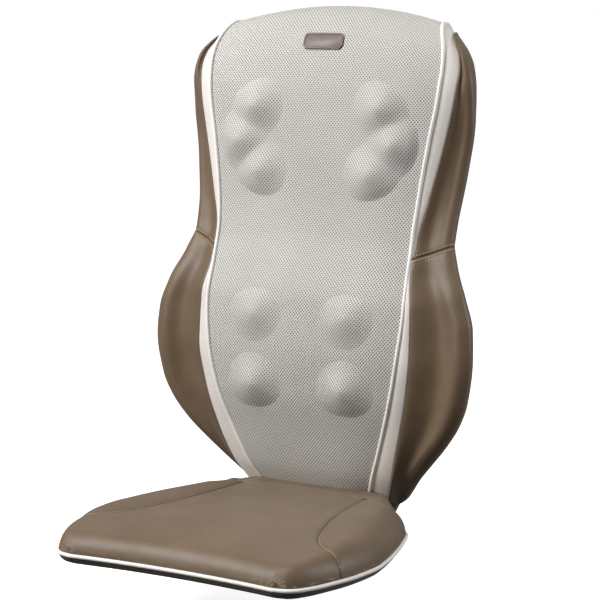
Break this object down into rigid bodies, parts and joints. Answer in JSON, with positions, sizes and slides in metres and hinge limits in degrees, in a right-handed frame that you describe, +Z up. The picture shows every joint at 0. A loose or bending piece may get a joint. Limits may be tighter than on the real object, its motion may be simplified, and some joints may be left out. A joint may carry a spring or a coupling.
{
  "type": "shiatsu massage seat cushion",
  "caption": "Padded massage cushion for a chair: tall contoured back with rotating kneading heads under mesh, and a folding seat flap with vibration.",
  "frame": {"origin": "centre of the whole object's footprint box, on the floor", "axes": "+Z up, -Y is the front that a sitter leans on, +X is the viewer's right from the front"},
  "size_m": [0.492, 0.4558, 0.7031],
  "materials": {
    "leatherette": "polyurethane leatherette, soft satin",
    "gusset_cloth": "smooth coated cloth",
    "piping_vinyl": "vinyl covered piping",
    "spacer_mesh": "knitted spacer mesh",
    "foam": "polyurethane foam",
    "rear_cloth": "woven black polyester",
    "webbing": "woven webbing",
    "black_nylon": "moulded nylon",
    "badge_metal": "enamelled zinc",
    "moulded_abs": "moulded ABS",
    "seat_board_panel": "moulded polypropylene sheet",
    "acetal": "cut acetal",
    "motor_steel": "drawn steel can",
    "worm_steel": "turned steel",
    "ball_plastic": "polished plastic",
    "bronze": "sintered bronze",
    "screw_steel": "zinc plated steel",
    "circuit_board": "glass epoxy board",
    "brass": "turned brass",
    "grommet_rubber": "moulded rubber"
  },
  "bodies": {
    "back": {"upper_left_wing": "leatherette", "upper_right_wing": "leatherette", "lower_left_wing": "leatherette", "lower_right_wing": "leatherette", "bottom_cover": "leatherette", "seat_hinge_flap": "leatherette", "upper_left_gusset": "gusset_cloth", "upper_right_gusset": "gusset_cloth", "lower_left_gusset": "gusset_cloth", "lower_right_gusset": "gusset_cloth", "left_piping": "piping_vinyl", "right_piping": "piping_vinyl", "mesh_panel": "spacer_mesh", "back_foam_pad": "foam", "rear_cover": "rear_cloth", "upper_chair_strap": "webbing", "lower_chair_strap": "webbing", "strap_buckles": "black_nylon", "badge": "badge_metal", "rear_tray": "moulded_abs", "front_frame": "moulded_abs", "upper_gearbox_housing": "moulded_abs", "lower_gearbox_housing": "moulded_abs", "upper_gearbox_cover": "moulded_abs", "lower_gearbox_cover": "moulded_abs", "shaft_bushes": "acetal", "upper_drive_motor": "motor_steel", "lower_drive_motor": "motor_steel", "worm_bearings": "bronze", "frame_screws": "screw_steel", "gearbox_screws": "screw_steel", "control_board": "circuit_board", "board_standoffs": "brass", "dc_inlet": "black_nylon", "handset_gland": "grommet_rubber"},
    "seat": {"seat_base_cover": "leatherette", "seat_centre_cover": "leatherette", "seat_left_bolster": "leatherette", "seat_right_bolster": "leatherette", "seat_piping": "piping_vinyl", "seat_foam": "foam", "seat_board": "seat_board_panel", "vibration_pod": "moulded_abs", "vibration_pod_lid": "moulded_abs", "vibration_motor": "motor_steel"},
    "vibration_weight": {"eccentric_weight": "screw_steel"},
    "upper_worm_shaft": {"upper_worm": "worm_steel"},
    "upper_left_head": {"upper_left_worm_wheel": "acetal", "upper_left_arm": "moulded_abs", "upper_left_balls": "ball_plastic"},
    "upper_right_head": {"upper_right_worm_wheel": "acetal", "upper_right_arm": "moulded_abs", "upper_right_balls": "ball_plastic"},
    "lower_worm_shaft": {"lower_worm": "worm_steel"},
    "lower_left_head": {"lower_left_worm_wheel": "acetal", "lower_left_arm": "moulded_abs", "lower_left_balls": "ball_plastic"},
    "lower_right_head": {"lower_right_worm_wheel": "acetal", "lower_right_arm": "moulded_abs", "lower_right_balls": "ball_plastic"}
  },
  "joints": [
    {"name": "upper_left_spin", "type": "hinge", "parent": "back", "child": "upper_left_head", "pos_m": [-0.071, 0.17885, 0.52524], "axis": [0, -0.9976, 0.0698], "continuous": true},
    {"name": "upper_right_spin", "type": "hinge", "parent": "back", "child": "upper_right_head", "pos_m": [0.071, 0.17885, 0.52524], "axis": [0, -0.9976, 0.0698], "continuous": true},
    {"name": "upper_worm_spin", "type": "hinge", "parent": "back", "child": "upper_worm_shaft", "pos_m": [0, 0.17885, 0.52524], "axis": [0, 0.0698, 0.9976], "continuous": true},
    {"name": "lower_left_spin", "type": "hinge", "parent": "back", "child": "lower_left_head", "pos_m": [-0.071, 0.15883, 0.23893], "axis": [0, -0.9976, 0.0698], "continuous": true},
    {"name": "lower_right_spin", "type": "hinge", "parent": "back", "child": "lower_right_head", "pos_m": [0.071, 0.15883, 0.23893], "axis": [0, -0.9976, 0.0698], "continuous": true},
    {"name": "lower_worm_spin", "type": "hinge", "parent": "back", "child": "lower_worm_shaft", "pos_m": [0, 0.15883, 0.23893], "axis": [0, 0.0698, 0.9976], "continuous": true},
    {"name": "seat_fold", "type": "hinge", "parent": "back", "child": "seat", "pos_m": [0, 0.10421, 0.052], "axis": [1, 0, 0], "range_deg": [-70, 15]},
    {"name": "weight_spin", "type": "hinge", "parent": "seat", "child": "vibration_weight", "pos_m": [0, -0.05179, 0.0273], "axis": [1, 0, 0], "continuous": true}
  ],
  "couplings": [
    {"joint": "upper_right_spin", "follows": "upper_left_spin", "ratio": -1},
    {"joint": "upper_worm_spin", "follows": "upper_left_spin", "ratio": 30},
    {"joint": "lower_right_spin", "follows": "lower_left_spin", "ratio": -1},
    {"joint": "lower_worm_spin", "follows": "lower_left_spin", "ratio": 30}
  ]
}
